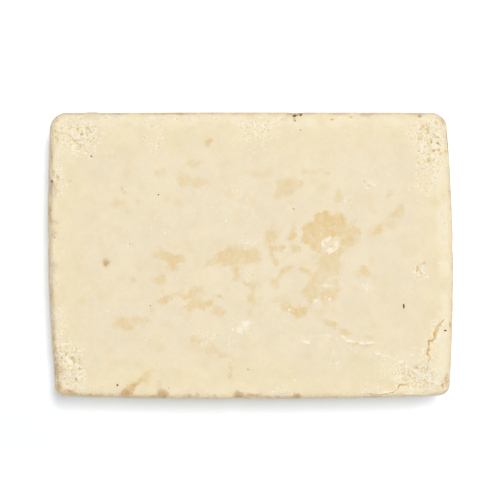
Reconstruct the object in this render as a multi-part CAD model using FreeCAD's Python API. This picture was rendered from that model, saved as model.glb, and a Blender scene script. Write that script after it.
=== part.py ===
import FreeCAD, Part
import os
from FreeCAD import Rotation, Vector

# A hand-cut bar of soap that lies on one of its broad faces, dry, cracked and crumbling at its corners.
# It was poured and cut as one piece, so it is one solid: a slab with bowed sides, rounded corners and
# rounded rims, out of which age has taken a chip, two cracks, some shallow crumbled hollows and nicks.
# Sizes are in millimetres. The origin is under the middle of the bar, on the surface it rests on.
# X runs along the bar, east is +X. Y runs across it, north is +Y. Z is up.

# The whole bar. Its walls stand upright.
BAR_LENGTH = 90.0
BAR_WIDTH = 63.8
BAR_THICKNESS = 25.0

# How far each side bows out beyond a straight line between its two corners.
EAST_BOW = 1.3
WEST_BOW = 1.1
NORTH_BOW = 0.1
SOUTH_BOW = 0.8

# The bar isn't quite square: each end's south corner stands east of its north corner by its lean,
# and the south side's east corner stands north of its west corner.
EAST_LEAN = 0.8
WEST_LEAN = 1.1
SOUTH_LEAN = 0.15

# Radii of the four upright corners and of the rims round the two broad faces.
NORTH_WEST_RADIUS = 3.8
NORTH_EAST_RADIUS = 3.4
SOUTH_WEST_RADIUS = 2.3
SOUTH_EAST_RADIUS = 2.6
TOP_RIM_RADIUS = 0.6
BASE_RIM_RADIUS = 1.6

EAST, WEST, NORTH, SOUTH = 1, -1, 1, -1

# The crack that cuts off the south-east corner. Each point is its distance in from the east end and
# from the south side, then the crack's width there. It is deeper than it is wide by a fixed ratio.
SOUTH_EAST_CRACK = [
    (1.8, 17.7, 0.20),
    (2.5, 17.1, 0.35),
    (3.4, 16.1, 0.70),
    (3.9, 14.2, 0.50),
    (4.5, 12.8, 0.60),
    (5.3, 12.6, 0.50),
    (5.5, 10.9, 0.45),
    (5.6, 9.8, 0.60),
    (5.1, 8.9, 0.40),
    (5.6, 8.2, 0.30),
    (5.7, 6.4, 0.15),
]

# The finer crack across the north-west corner, in from the west end and the north side.
NORTH_WEST_CRACK = [
    (2.7, 4.6, 0.10),
    (4.4, 4.8, 0.18),
    (5.8, 6.1, 0.32),
    (6.9, 7.2, 0.20),
    (7.8, 8.4, 0.10),
]
CRACK_DEPTH_TO_WIDTH = 1.7

# The chip off the south-west corner: the line along which it broke away, in from the west end and the
# south side, how deep its floor lies at that line, and how much the floor falls towards the corner.
CHIP_BREAK_LINE = [
    (0.2, 10.4),
    (2.4, 10.2),
    (3.6, 10.6),
    (5.2, 9.4),
    (7.3, 8.7),
    (7.8, 7.3),
    (6.4, 6.2),
    (6.2, 4.2),
    (4.9, 2.9),
    (4.5, 0.2),
]
CHIP_DEPTH_AT_BREAK = 0.3
CHIP_FLOOR_SLOPE = 6.0  # degrees

# Hollows where the face has crumbled: the end and side they are measured in from, the distances to the
# middle of the hollow, its radius on the face and its depth.
CRUMBLED_HOLLOWS = [
    (WEST, NORTH, 7.4, 4.6, 4.6, 0.30),
    (EAST, NORTH, 4.0, 7.0, 5.0, 0.30),
    (EAST, SOUTH, 8.0, 3.4, 4.4, 0.35),
]

# Nicks in the rim of the top face: the place along the side from the bar's middle, the nick's length
# along the rim and how far it bites in from the wall.
NORTH_NICKS = [(10.2, 3.4, 0.8)]
SOUTH_NICKS = [(-2.6, 4.6, 0.8)]
WEST_NICKS = [(16.0, 5.4, 0.7), (-24.0, 5.0, 1.0)]
EAST_NICKS = [(18.5, 5.0, 0.6)]

# Cutting tools reach this far past the surface that they cut.
CUT_CLEARANCE = 1.0


def side_arc(start, end, bow):
    """The bowed side between two corners, going round the bar with its inside on the left."""
    along = (end - start).normalize()
    outward = Vector(along.y, -along.x, 0)
    return Part.Arc(start, (start + end) * 0.5 + outward * bow, end).toShape()


def outline():
    """The bar's outline with sharp corners, in the plane that it rests on."""
    west = -BAR_LENGTH / 2 + WEST_BOW
    east = BAR_LENGTH / 2 - EAST_BOW
    north = BAR_WIDTH / 2 - NORTH_BOW
    south = -BAR_WIDTH / 2 + SOUTH_BOW
    north_west = Vector(west - WEST_LEAN / 2, north, 0)
    north_east = Vector(east - EAST_LEAN / 2, north, 0)
    south_west = Vector(west + WEST_LEAN / 2, south - SOUTH_LEAN / 2, 0)
    south_east = Vector(east + EAST_LEAN / 2, south + SOUTH_LEAN / 2, 0)
    return Part.Wire(
        [
            side_arc(south_west, south_east, SOUTH_BOW),
            side_arc(south_east, north_east, EAST_BOW),
            side_arc(north_east, north_west, NORTH_BOW),
            side_arc(north_west, south_west, WEST_BOW),
        ]
    )


def upright_edge(solid, end, side):
    """The one upright edge at a corner of the bar."""
    for edge in solid.Edges:
        box = edge.BoundBox
        is_upright = box.ZLength > BAR_THICKNESS / 2
        if is_upright and end * box.Center.x > 0 and side * box.Center.y > 0:
            return edge
    raise ValueError("the bar has no upright edge at that corner")


def level_edges(solid, height):
    """The edges that lie in the level plane at this height."""
    return [edge for edge in solid.Edges if all(abs(v.Z - height) < 0.01 for v in edge.Vertexes)]


def whole_bar():
    """The bar as it was before it dried and crumbled."""
    bar = Part.Face(outline()).extrude(Vector(0, 0, BAR_THICKNESS))
    bar = bar.makeFillet(NORTH_WEST_RADIUS, [upright_edge(bar, WEST, NORTH)])
    bar = bar.makeFillet(NORTH_EAST_RADIUS, [upright_edge(bar, EAST, NORTH)])
    bar = bar.makeFillet(SOUTH_WEST_RADIUS, [upright_edge(bar, WEST, SOUTH)])
    bar = bar.makeFillet(SOUTH_EAST_RADIUS, [upright_edge(bar, EAST, SOUTH)])
    bar = bar.makeFillet(TOP_RIM_RADIUS, level_edges(bar, BAR_THICKNESS))
    return bar.makeFillet(BASE_RIM_RADIUS, level_edges(bar, 0))


def on_face(end, side, from_end, from_side):
    """A point of the top face, measured in from an end and a side of the bar."""
    return Vector(
        end * (BAR_LENGTH / 2 - from_end),
        side * (BAR_WIDTH / 2 - from_side),
        BAR_THICKNESS,
    )


def crack(end, side, route):
    """A V-shaped crack in the top face, as the solid to take out of the bar."""
    points = [on_face(end, side, from_end, from_side) for from_end, from_side, _ in route]
    sections = []
    for number, point in enumerate(points):
        before = points[max(number - 1, 0)]
        after = points[min(number + 1, len(points) - 1)]
        along = (after - before).normalize()
        width = route[number][2]
        depth = width * CRACK_DEPTH_TO_WIDTH
        half_mouth = width / 2 * (depth + CUT_CLEARANCE) / depth
        across = Vector(-along.y, along.x, 0) * half_mouth
        mouth = point + Vector(0, 0, CUT_CLEARANCE)
        foot = point - Vector(0, 0, depth)
        sections.append(Part.makePolygon([mouth + across, mouth - across, foot, mouth + across]))
    stretches = [Part.makeLoft([a, b], True, True) for a, b in zip(sections, sections[1:])]
    return stretches[0].fuse(stretches[1:])


def corner_chip():
    """What broke off the south-west corner: all that lies outside the break line and above a floor
    that falls towards the corner."""
    break_line = [on_face(WEST, SOUTH, *point) for point in CHIP_BREAK_LINE]
    reach = CHIP_BREAK_LINE[0][1]
    outside = [
        on_face(WEST, SOUTH, CHIP_BREAK_LINE[-1][0], -reach),
        on_face(WEST, SOUTH, -reach, -reach),
        on_face(WEST, SOUTH, -reach, CHIP_BREAK_LINE[0][1]),
    ]
    below = Vector(0, 0, -2 * reach)
    loop = [point + below for point in break_line + outside]
    column = Part.Face(Part.makePolygon(loop + loop[:1])).extrude(Vector(0, 0, 4 * reach))
    innermost = max(CHIP_BREAK_LINE, key=sum)
    floor_start = on_face(WEST, SOUTH, *innermost) - Vector(0, 0, CHIP_DEPTH_AT_BREAK)
    slab = Part.makeBox(8 * reach, 8 * reach, 4 * reach, Vector(-4 * reach, -4 * reach, 0))
    downhill_axis = Vector(1, -1, 0)
    slab.Placement = FreeCAD.Placement(floor_start, Rotation(downhill_axis, -CHIP_FLOOR_SLOPE))
    return column.common(slab)


def hollow(end, side, from_end, from_side, radius, depth):
    """The round-bottomed hollow of this radius and depth in the top face, as a ball to take out."""
    ball_radius = (radius**2 + depth**2) / (2 * depth)
    middle = on_face(end, side, from_end, from_side)
    return Part.makeSphere(ball_radius, middle + Vector(0, 0, ball_radius - depth))


def nick(rim_point, inward, length, bite):
    """A nick in the top rim, as a ball to take out: this long along the wall and this deep into it."""
    ball_radius = ((length / 2) ** 2 + bite**2) / (2 * bite)
    return Part.makeSphere(ball_radius, rim_point - inward * (ball_radius - bite))


def nicks():
    """All the nicks in the rim, measured from where each wall meets the top face."""
    north = BAR_WIDTH / 2
    east = BAR_LENGTH / 2
    balls = []
    for place, length, bite in NORTH_NICKS:
        balls.append(nick(Vector(place, north, BAR_THICKNESS), Vector(0, -1, 0), length, bite))
    for place, length, bite in SOUTH_NICKS:
        balls.append(nick(Vector(place, -north, BAR_THICKNESS), Vector(0, 1, 0), length, bite))
    for place, length, bite in EAST_NICKS:
        balls.append(nick(Vector(east, place, BAR_THICKNESS), Vector(-1, 0, 0), length, bite))
    for place, length, bite in WEST_NICKS:
        balls.append(nick(Vector(-east, place, BAR_THICKNESS), Vector(1, 0, 0), length, bite))
    return balls


def soap_bar():
    """The bar as it is now, over its origin."""
    bar = whole_bar()
    bar = bar.cut(corner_chip())
    for place in CRUMBLED_HOLLOWS:
        bar = bar.cut(hollow(*place))
    for ball in nicks():
        bar = bar.cut(ball)
    bar = bar.cut(crack(EAST, SOUTH, SOUTH_EAST_CRACK))
    bar = bar.cut(crack(WEST, NORTH, NORTH_WEST_CRACK))
    box = bar.optimalBoundingBox(False, False)
    bar.translate(Vector(-box.Center.x, -box.Center.y, -box.ZMin))
    return bar


os.makedirs("parts", exist_ok=True)
bar = soap_bar()
bar.exportStep("parts/soap_bar.step")
print(f"soap_bar: {bar.Volume / 1000:.1f} cm3, valid {bar.isValid()}, solids {len(bar.Solids)}")
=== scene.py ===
# %% [markdown]
# # A dry, hand-cut bar of soap
#
# The object is one slab of hard cream soap, 90 mm long, seen from straight above. What makes it look
# real is age: the corners have crumbled, two cracks have opened, a corner has broken away, brown marks
# sit on the rims, and yellower patches have come out on the broad face.
#
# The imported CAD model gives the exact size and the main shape. This lesson dresses it in three steps:
# a finely divided block is pressed onto the CAD shape and then worn down, loose grains are strewn where
# the soap crumbles, and one waxy material colours it by attributes that the wearing leaves behind.

# %% Load the frame
import math
import random

import bmesh
import bpy
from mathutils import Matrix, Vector, noise
from mathutils.bvhtree import BVHTree


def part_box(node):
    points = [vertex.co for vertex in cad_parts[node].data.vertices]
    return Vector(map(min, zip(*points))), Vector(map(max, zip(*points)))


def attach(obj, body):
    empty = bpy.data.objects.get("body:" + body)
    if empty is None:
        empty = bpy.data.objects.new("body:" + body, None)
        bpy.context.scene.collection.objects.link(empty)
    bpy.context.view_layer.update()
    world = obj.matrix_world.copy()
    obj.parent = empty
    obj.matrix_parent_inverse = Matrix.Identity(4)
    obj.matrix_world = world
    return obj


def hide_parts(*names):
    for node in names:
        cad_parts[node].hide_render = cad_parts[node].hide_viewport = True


SEED = 1122
noise.seed_set(SEED)  # without it noise_vector would be shifted by the clock

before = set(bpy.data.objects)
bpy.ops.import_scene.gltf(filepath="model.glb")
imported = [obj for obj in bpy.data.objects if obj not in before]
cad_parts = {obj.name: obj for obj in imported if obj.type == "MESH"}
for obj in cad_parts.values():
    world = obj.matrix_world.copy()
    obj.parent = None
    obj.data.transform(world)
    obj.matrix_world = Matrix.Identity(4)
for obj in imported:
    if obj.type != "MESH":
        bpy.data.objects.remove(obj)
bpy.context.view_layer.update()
MM = 0.001
low, high = (Vector(corner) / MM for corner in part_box("soap_bar"))
LENGTH, WIDTH, THICKNESS = high - low
print(f"the bar is {LENGTH:.1f} x {WIDTH:.1f} x {THICKNESS:.1f} mm")

# %% [markdown]
# ## The block
#
# The real bar was cut from a larger block and dried. A sculptor would rough it out in the same way:
# start from a plain block of the right size, then take material off.
#
# A voxel remesh of the CAD solid would work too, but it spends as many faces on the hidden underside as
# on the face that is seen. So a flat sheet of half-millimetre squares becomes the broad face, its edge
# is pulled down in steps for the walls, and the underside is closed with a few rings and one flat face.
# The steps and the outer squares are finer near the rims, which are only just over half a millimetre
# round.

# %% A block of half-millimetre squares
CELL = 0.5


def block():
    """A closed block of the bar's size in millimetres, fine on top and on its walls, plain below."""
    bm = bmesh.new()
    across, along = round(LENGTH / CELL), round(WIDTH / CELL)
    bmesh.ops.create_grid(bm, x_segments=across, y_segments=along, size=0.5)
    bmesh.ops.scale(bm, vec=(LENGTH, WIDTH, 1), verts=bm.verts)
    bmesh.ops.translate(bm, vec=(0, 0, THICKNESS), verts=bm.verts)
    edge = [e for e in bm.edges if e.is_boundary]
    steps = [0.25] * 5 + [0.5] * 3 + [1.2] * 16 + [0.7] * 2 + [0.3] * 3
    scale = THICKNESS / sum(steps)
    for step in steps:
        pulled = bmesh.ops.extrude_edge_only(bm, edges=edge)["geom"]
        verts = [g for g in pulled if isinstance(g, bmesh.types.BMVert)]
        edge = [g for g in pulled if isinstance(g, bmesh.types.BMEdge) and g.is_boundary]
        bmesh.ops.translate(bm, vec=(0, 0, -step * scale), verts=verts)
    base = bmesh.ops.edgeloop_fill(bm, edges=edge)["faces"]
    for inset in (0.6, 0.8, 1.2, 2.4):
        bmesh.ops.inset_region(bm, faces=base, thickness=inset, use_even_offset=True)
    bmesh.ops.recalc_face_normals(bm, faces=bm.faces)
    return bm


def divide(bm, wanted):
    """Halve the edges of the top face's squares whose middle is wanted."""
    chosen = [f for f in bm.faces if f.normal.z > 0.2 and wanted(*f.calc_center_median().xy)]
    edges = dict.fromkeys(e for f in chosen for e in f.edges)  # a set would lose their order
    bmesh.ops.subdivide_edges(bm, edges=list(edges), cuts=1, use_grid_fill=True)
    bm.normal_update()


bar = block()
bar.normal_update()
divide(bar, lambda x, y: abs(x) > LENGTH / 2 - 1.6 or abs(y) > WIDTH / 2 - 1.6)
print(f"the block has {len(bar.faces)} faces")

# %% [markdown]
# ## Pressed onto the CAD shape
#
# The CAD shape's sides bow outwards and lean a little. A straight block's corners would fold over if
# they were pressed straight onto it, so each point is first slid until the block's outline has the same
# bow, which is read from the CAD shape itself with rays from outside.

# %% The CAD shape as a target, and the press
def cad_tree():
    """A search tree over a welded copy of the CAD node, in millimetres."""
    copy = bmesh.new()
    copy.from_mesh(bpy.data.objects["soap_bar"].data)
    bmesh.ops.remove_doubles(copy, verts=copy.verts, dist=1e-7)
    bmesh.ops.scale(copy, vec=(1 / MM,) * 3, verts=copy.verts)
    tree = BVHTree.FromBMesh(copy)
    copy.free()
    return tree


def wall(tree, start, towards):
    """Where a level ray from outside the bar meets the wall at half its height."""
    hit = tree.ray_cast(Vector((*start, THICKNESS / 2)), Vector((*towards, 0)))[0]
    return hit if hit else Vector((*start, 0))


def press(bm, tree):
    """Slide each point to the bar's bowed outline, then onto the nearest point of the CAD shape."""
    reach = 0.94  # the part of each side, out from its middle, that lies clear of the rounded corners
    rows, columns = {}, {}
    for vert in bm.verts:
        x, y, z = vert.co
        row, column = round(y / WIDTH * reach, 3), round(x / LENGTH * reach, 3)
        if row not in rows:
            west = wall(tree, (-LENGTH, row * WIDTH), (1, 0)).x
            rows[row] = west, wall(tree, (LENGTH, row * WIDTH), (-1, 0)).x
        if column not in columns:
            south = wall(tree, (column * LENGTH, -WIDTH), (0, 1)).y
            columns[column] = south, wall(tree, (column * LENGTH, WIDTH), (0, -1)).y
        west, east = rows[row]
        south, north = columns[column]
        x_slid = west + (x / LENGTH + 0.5) * (east - west)
        y_slid = south + (y / WIDTH + 0.5) * (north - south)
        slid = Vector((x_slid, y_slid, z))
        in_base = z < 0.01 and abs(x) < LENGTH * 0.45 and abs(y) < WIDTH * 0.42
        vert.co = slid if in_base else tree.find_nearest(slid)[0]


cad = cad_tree()
press(bar, cad)
bar.normal_update()
print("pressed onto the CAD shape")

# %% [markdown]
# ## Where the bar is worn
#
# Each kind of wear is a short list of places in millimetres from the middle of the bar, with +X to the
# right and +Y away from the viewer. Functions turn the lists into fields that run from 0 to 1 over the
# face. The same fields first move the points and then, kept as attributes, steer the colours, so a pit's
# golden colour, partly painted shade, is always at its bottom and never beside it. Soap never breaks
# along a smooth oval, so noise shifts each place a little before it is looked up, and every outline comes
# out ragged.

# %% Helpers for the fields
def smooth(value, start, end):
    """0 before start, 1 after end, with a soft step between; start may lie above end."""
    t = max(0.0, min(1.0, (value - start) / (end - start)))
    return t * t * (3 - 2 * t)


def blot(x, y, place):
    """A soft oval: 1 at its middle, a half at its half sizes and 0 at 1.4 times them."""
    cx, cy, half_x, half_y, turn = place[:5]
    c, s = math.cos(math.radians(turn)), math.sin(math.radians(turn))
    u = ((x - cx) * c + (y - cy) * s) / half_x
    v = ((y - cy) * c - (x - cx) * s) / half_y
    return smooth(u * u + v * v, 2.0, 0.0)


SQUARE = 5.0


def in_squares(places):
    """The places sorted into squares, so that each point looks only at those that can reach it."""
    squares = {}
    for place in places:
        reach = max(place[2], place[3]) * 1.5 + 0.5
        across = range(int((place[0] - reach) // SQUARE), int((place[0] + reach) // SQUARE) + 1)
        along = range(int((place[1] - reach) // SQUARE), int((place[1] + reach) // SQUARE) + 1)
        for i in across:
            for j in along:
                squares.setdefault((i, j), []).append(place)
    return squares


def blots_at(x, y, squares):
    """The value of each blot that reaches a point, with the strength that its place gives it."""
    found = squares.get((int(x // SQUARE), int(y // SQUARE)), ())
    return [(blot(x, y, place), place[5]) for place in found]


def strongest(x, y, squares):
    """The greatest value times strength of the blots at a point."""
    return max((value * strength for value, strength in blots_at(x, y, squares)), default=0.0)


def warped(x, y, amount, size):
    """A place that noise of this size has shifted by up to this many millimetres."""
    shift = noise.noise_vector(Vector((x, y, 0)) / size) * amount
    return x + shift.x, y + shift.y


# %% Where the soap crumbles
# Each place: x, y, half length, half width, turn, strength.
CRUMBLED = [
    # the four corners
    (-38.2, 27.0, 5.8, 4.0, -8, 0.85), (-40.3, 23.6, 3.4, 3.4, 0, 0.6), (-36.8, 23.2, 2.6, 1.8, -30, 0.55),
    (-31.8, 21.8, 3.6, 1.5, 0, 0.32), (-30.2, 30.4, 2.6, 1.0, 0, 0.5), (39.9, 23.8, 3.7, 7.2, 0, 0.85),
    (36.2, 26.6, 2.0, 3.8, 0, 0.55), (38.8, 16.6, 3.4, 4.0, 0, 0.55), (42.6, 10.6, 1.4, 5.0, 0, 0.45),
    (-40.4, -22.2, 4.0, 3.4, -15, 0.9), (-38.8, -26.6, 2.6, 3.8, 15, 0.95), (-41.4, -26.6, 2.4, 2.8, 0, 0.6),
    (-33.7, -28.8, 3.0, 1.2, 0, 0.4), (36.6, -27.0, 6.4, 3.2, -14, 0.95), (37.6, -23.6, 4.4, 2.8, -20, 0.6),
    (30.8, -24.4, 4.2, 2.6, 10, 0.5), (28.4, -29.6, 5.4, 1.5, 0, 0.5), (43.2, -27.0, 1.2, 2.6, 0, 0.5),
    # the west and east sides
    (-42.4, 16.6, 1.9, 5.0, 0, 0.62), (-41.6, 3.5, 1.5, 4.5, 0, 0.32), (-43.2, -2.5, 0.9, 3.5, 0, 0.45),
    (-42.4, -14.6, 1.6, 4.0, 0, 0.6), (42.8, -1.0, 1.1, 8.0, 0, 0.28), (41.2, -15.4, 1.8, 2.4, -40, 0.55),
    (39.6, -20.6, 1.8, 3.8, 0, 0.5), (37.6, -3.2, 1.9, 1.8, 0, 0.8),
    # along the north and south rims
    (-21.4, 26.2, 3.0, 4.0, 0, 0.5), (-12.0, 30.5, 8.0, 0.7, 0, 0.45), (1.8, 28.2, 4.6, 3.2, 0, 0.68),
    (1.6, 24.4, 2.4, 2.2, 0, 0.5), (7.6, 30.2, 2.4, 0.8, 20, 0.55), (17.2, 30.7, 6.0, 0.5, 0, 0.35),
    (7.4, -30.5, 5.4, 0.9, 0, 0.6), (-8.0, -30.4, 3.2, 1.0, 0, 0.45), (14.4, -27.6, 9.0, 2.2, 0, 0.24),
    # small broken places on the open face
    (-3.6, 11.2, 5.6, 4.6, 0, 0.34), (-0.2, 3.6, 3.0, 1.2, 0, 0.5), (-0.4, -3.8, 2.0, 1.8, 0, 0.5),
    (18.4, -5.6, 2.8, 1.8, 0, 0.5), (16.2, -9.6, 2.4, 1.4, 0, 0.4), (25.6, -6.5, 1.7, 1.6, 0, 0.5),
    (22.4, -0.8, 2.0, 1.4, 0, 0.36), (-2.0, -15.8, 3.2, 2.6, 0, 0.45), (-7.8, -18.2, 5.4, 2.8, 0, 0.38),
    (-22.8, -17.6, 2.0, 1.2, 0, 0.36), (-15.4, -14.4, 4.0, 1.2, 0, 0.28), (14.6, -18.6, 5.6, 1.4, 0, 0.42),
    (18.8, -23.8, 1.5, 1.3, 0, 0.45), (22.0, -21.4, 4.6, 0.9, 0, 0.34), (25.9, 16.0, 1.3, 1.3, 0, 0.65),
    (22.0, 12.3, 1.2, 0.8, 35, 0.6), (9.4, 10.7, 1.3, 1.0, 0, 0.42), (-6.2, 25.2, 0.9, 1.1, 0, 0.42),
    (-27.9, 15.4, 0.6, 1.2, 0, 0.45), (-9.8, 13.2, 0.8, 0.8, 0, 0.4), (-26.5, 3.0, 0.9, 0.8, 0, 0.6),
    (-30.0, -12.4, 2.2, 0.8, 0, 0.35), (-18.0, 7.0, 6.0, 4.0, 0, 0.22), (9.0, -14.0, 5.0, 3.0, 0, 0.25),
]
crumbled_squares = in_squares(CRUMBLED)


def crumble(x, y):
    """How far the face has crumbled: the places above, frayed at their edges."""
    solid = strongest(*warped(x, y, 1.1, 3.0), crumbled_squares)
    frayed = 0.35 * noise.noise(Vector((x * 0.8, y * 0.8, 3.1)))
    return max(0.0, min(1.0, solid + frayed * smooth(solid, 0.0, 0.3)))


# %% Cracks and ridges
# A line is a list of points x, y with the line's width there.
EAST_CRACK = [
    (43.2, -14.1, 0.15), (42.4, -14.8, 0.30), (41.4, -16.0, 0.80), (40.9, -17.8, 0.50), (40.4, -18.9, 0.32),
    (39.6, -18.9, 0.34), (39.5, -20.6, 0.36), (39.2, -21.7, 0.52), (39.8, -22.7, 0.28), (39.4, -23.6, 0.25),
    (39.3, -25.4, 0.12),
]
WEST_CRACK = [
    (-42.9, 27.3, 0.08), (-40.3, 26.7, 0.14), (-39.2, 25.6, 0.26), (-38.6, 25.0, 0.34), (-37.2, 23.8, 0.16),
    (-36.2, 22.8, 0.08),
]
FISSURE = [
    (25.1, -30.4, 0.18), (26.0, -30.7, 0.25), (28.1, -31.0, 0.18), (30.8, -30.7, 0.30), (32.4, -29.9, 0.20),
    (33.3, -28.6, 0.28), (34.6, -28.8, 0.14),
]
CRACKS = [EAST_CRACK, WEST_CRACK, FISSURE]
RIDGES = [
    [(20.3, -17.8, 0.2), (21.3, -18.8, 0.32), (24.0, -19.2, 0.2), (24.4, -19.3, 0.34), (27.2, -19.4, 0.28)],
    [(11.6, -19.0, 0.2), (12.9, -19.4, 0.35)],
    [(28.3, -30.6, 0.25), (31.0, -30.3, 0.35)],
    [(27.5, -21.6, 0.2), (30.0, -22.3, 0.25), (33.0, -23.4, 0.2)],
    [(33.0, -23.4, 0.25), (34.8, -24.6, 0.4), (36.9, -25.9, 0.5), (39.6, -27.6, 0.6), (43.0, -28.9, 0.4)],
    [(-42.4, -21.4, 0.4), (-40.9, -22.7, 0.6), (-39.6, -24.0, 0.4)],
    [(-37.4, -24.6, 0.4), (-38.2, -26.6, 0.5), (-38.8, -28.4, 0.3)],
]


def to_line(x, y, line):
    """The distance from a point to a line of short straight runs, and the line's width there."""
    best = (1e9, 0.1)
    for (ax, ay, aw), (bx, by, bw) in zip(line, line[1:]):
        dx, dy = bx - ax, by - ay
        t = max(0.0, min(1.0, ((x - ax) * dx + (y - ay) * dy) / (dx * dx + dy * dy)))
        distance = math.hypot(x - ax - t * dx, y - ay - t * dy)
        if distance < best[0]:
            best = (distance, aw + t * (bw - aw))
    return best


def is_near(x, y, line, margin):
    """Whether a point can be within a margin of a line, from the line's own box."""
    xs, ys = [p[0] for p in line], [p[1] for p in line]
    return min(xs) - margin < x < max(xs) + margin and min(ys) - margin < y < max(ys) + margin


def along_lines(x, y, lines, spread=1.0, ragged=0.7):
    """1 in the middle of the nearest line, 0 at its width times the spread or further out."""
    value = 0.0
    for line in lines:
        if is_near(x, y, line, 2.0):
            distance, width = to_line(*warped(x, y, 0.28, 0.8), line)
            width *= max(0.1, 1 + ragged * 1.6 * noise.noise(Vector((x / 0.8, y / 0.8, 5))))
            value = max(value, smooth(distance, width * spread, 0.0))
    return value


# %% Pits
# Each pit: x, y, half length, half width, turn, depth in millimetres.
PITS = [
    (37.5, 31.0, 0.40, 0.25, 0, 0.35), (38.2, 28.6, 0.28, 0.40, -30, 0.25), (37.7, 28.1, 0.3, 0.3, 0, 0.2),
    (39.3, 27.7, 0.22, 0.60, 12, 0.30), (37.7, 27.1, 0.22, 0.28, 0, 0.20), (41.5, 26.2, 0.35, 0.2, 0, 0.3),
    (37.6, 25.9, 0.50, 0.25, -35, 0.22), (40.1, 25.2, 0.26, 0.35, 0, 0.40), (39.3, 25.0, 0.2, 0.2, 0, 0.3),
    (41.5, 24.9, 0.32, 0.26, 0, 0.45), (37.3, 23.2, 0.26, 0.20, 0, 0.30), (40.6, 23.3, 0.3, 0.22, 0, 0.45),
    (41.7, 23.4, 0.26, 0.32, 20, 0.35), (42.0, 22.6, 0.28, 0.22, 30, 0.30), (43.2, 23.1, 0.25, 0.3, 0, 0.3),
    (39.4, 21.1, 0.25, 0.45, 0, 0.35), (40.6, 21.2, 0.25, 0.22, 0, 0.25), (41.2, 29.4, 0.2, 0.35, 10, 0.3),
    (-37.5, 26.9, 0.34, 0.26, 30, 0.45), (-38.4, 28.1, 0.28, 0.2, 0, 0.35), (-36.3, 28.4, 0.35, 0.2, 0, 0.3),
    (-43.0, 30.0, 0.45, 0.22, 10, 0.25), (-43.2, 27.6, 0.2, 0.42, 0, 0.3), (-43.2, 26.2, 0.2, 0.3, 0, 0.3),
    (-35.4, 27.5, 0.28, 0.2, 0, 0.22), (-42.0, 28.3, 0.22, 0.2, 0, 0.22), (-35.3, 22.0, 0.28, 0.26, 0, 0.3),
    (-33.9, 30.2, 0.32, 0.18, 0, 0.25), (-42.4, -20.3, 0.22, 0.3, 0, 0.35), (-42, -21.3, 0.4, 0.2, -35, 0.3),
    (-41.0, -22.0, 0.28, 0.2, 0, 0.25), (-39.5, -22.9, 0.26, 0.22, 0, 0.4), (-39.1, -23.8, 0.2, 0.3, 0, 0.35),
    (-38.0, -23.0, 0.2, 0.22, 0, 0.3), (-37.9, -25.1, 0.36, 0.2, 10, 0.35), (-38.7, -27.6, 0.2, 0.5, 8, 0.4),
    (-40.7, -28.6, 0.26, 0.2, 0, 0.3), (-40.3, -30.0, 0.36, 0.2, -30, 0.4), (-41.9, -22.7, 0.2, 0.3, 0, 0.3),
    (42.6, -29.0, 0.26, 0.55, 0, 0.40), (36.8, -24.9, 0.36, 0.22, -30, 0.30), (33.9, -28.6, 0.3, 0.2, 0, 0.25),
    (37.0, -2.9, 0.22, 0.75, -12, 0.30), (38.4, -1.7, 0.20, 0.40, -30, 0.22), (37.9, -4.2, 0.2, 0.2, 0, 0.2),
    (21.9, 12.2, 0.55, 0.12, 35, 0.18), (25.2, 16.3, 0.14, 0.40, 20, 0.18), (26.3, 15.6, 0.3, 0.2, -20, 0.2),
    (9.5, 10.4, 0.22, 0.20, 0, 0.20), (18.2, -23.6, 0.16, 0.34, 20, 0.18), (-6.8, -9.1, 0.4, 0.14, 0, 0.12),
    (5.4, -28.4, 0.20, 0.16, 0, 0.15), (8.5, -25.2, 0.18, 0.16, 0, 0.15), (-20.8, -24.5, 0.26, 0.2, 0, 0.12),
]
pit_squares = in_squares(PITS)


def pits(x, y):
    """The depth of the pits at a point, in millimetres."""
    return strongest(*warped(x, y, 0.12, 0.5), pit_squares)


# %% [markdown]
# ## Divided further where it is worn
#
# Half a millimetre is too coarse for a crack 0.6 mm wide. The squares are divided again only where the
# soap crumbles, and once more along the cracks, so the fine points are spent where they show.

# %% Divide the squares again
def is_worn(x, y):
    """Whether a square of the face needs a finer mesh."""
    return crumble(x, y) > 0.36 or pits(x, y) > 0 or along_lines(x, y, CRACKS + RIDGES, 2.4) > 0


divide(bar, is_worn)
divide(bar, lambda x, y: along_lines(x, y, CRACKS, 2.0) > 0 or pits(x, y) > 0.02)
triangles = sum(len(face.verts) - 2 for face in bar.faces)
print(f"the divided block has {len(bar.faces)} faces, {triangles} triangles")

# %% [markdown]
# ## Wearing it down
#
# Everything is taken off and nothing is put on, because the CAD model's box is the real size. First the
# rims are rubbed rounder: a point that stands outside a circle of the wanted radius is pushed in to it.
# The west rim has been handled most. Then each point moves against its own normal by the sum of slow
# waves from drying, dents, nibbled rims, curds and pits where the soap crumbles, and the cracks.

# %% Rounder rims
RIM_RADIUS = {"west": 1.6, "east": 0.6, "north": 0.75, "south": 1.0}


def shares(outward):
    """How much a point belongs to each side, from the level direction out of the bar."""
    x, y = outward.x, outward.y
    return {
        "west": max(0.0, -x) ** 2,
        "east": max(0.0, x) ** 2,
        "north": max(0.0, y) ** 2,
        "south": max(0.0, -y) ** 2,
    }


def to_wall(point):
    """The distance from a point to the wall outside it, and the level direction there."""
    level = Vector((point.x, point.y, THICKNESS / 2))
    near, normal, _, distance = cad.find_nearest(level)
    outward = near - level if distance > 0.01 else normal
    outward.z = 0
    return distance, outward.normalized()


def rubbed(point, inset, outward):
    """The move that rubs a rim rounder: in to a circle that touches both the face and the wall."""
    share = shares(outward)
    radius = sum(RIM_RADIUS[side] * share[side] for side in share)
    radius *= 1 + 0.25 * noise.noise(point / 5)
    from_wall, from_top = radius - inset, radius - (THICKNESS - point.z)
    if from_wall <= 0 or from_top <= 0:
        return Vector()
    away = outward * from_wall + Vector((0, 0, from_top))
    return -away.normalized() * max(0.0, away.length - radius)


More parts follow.
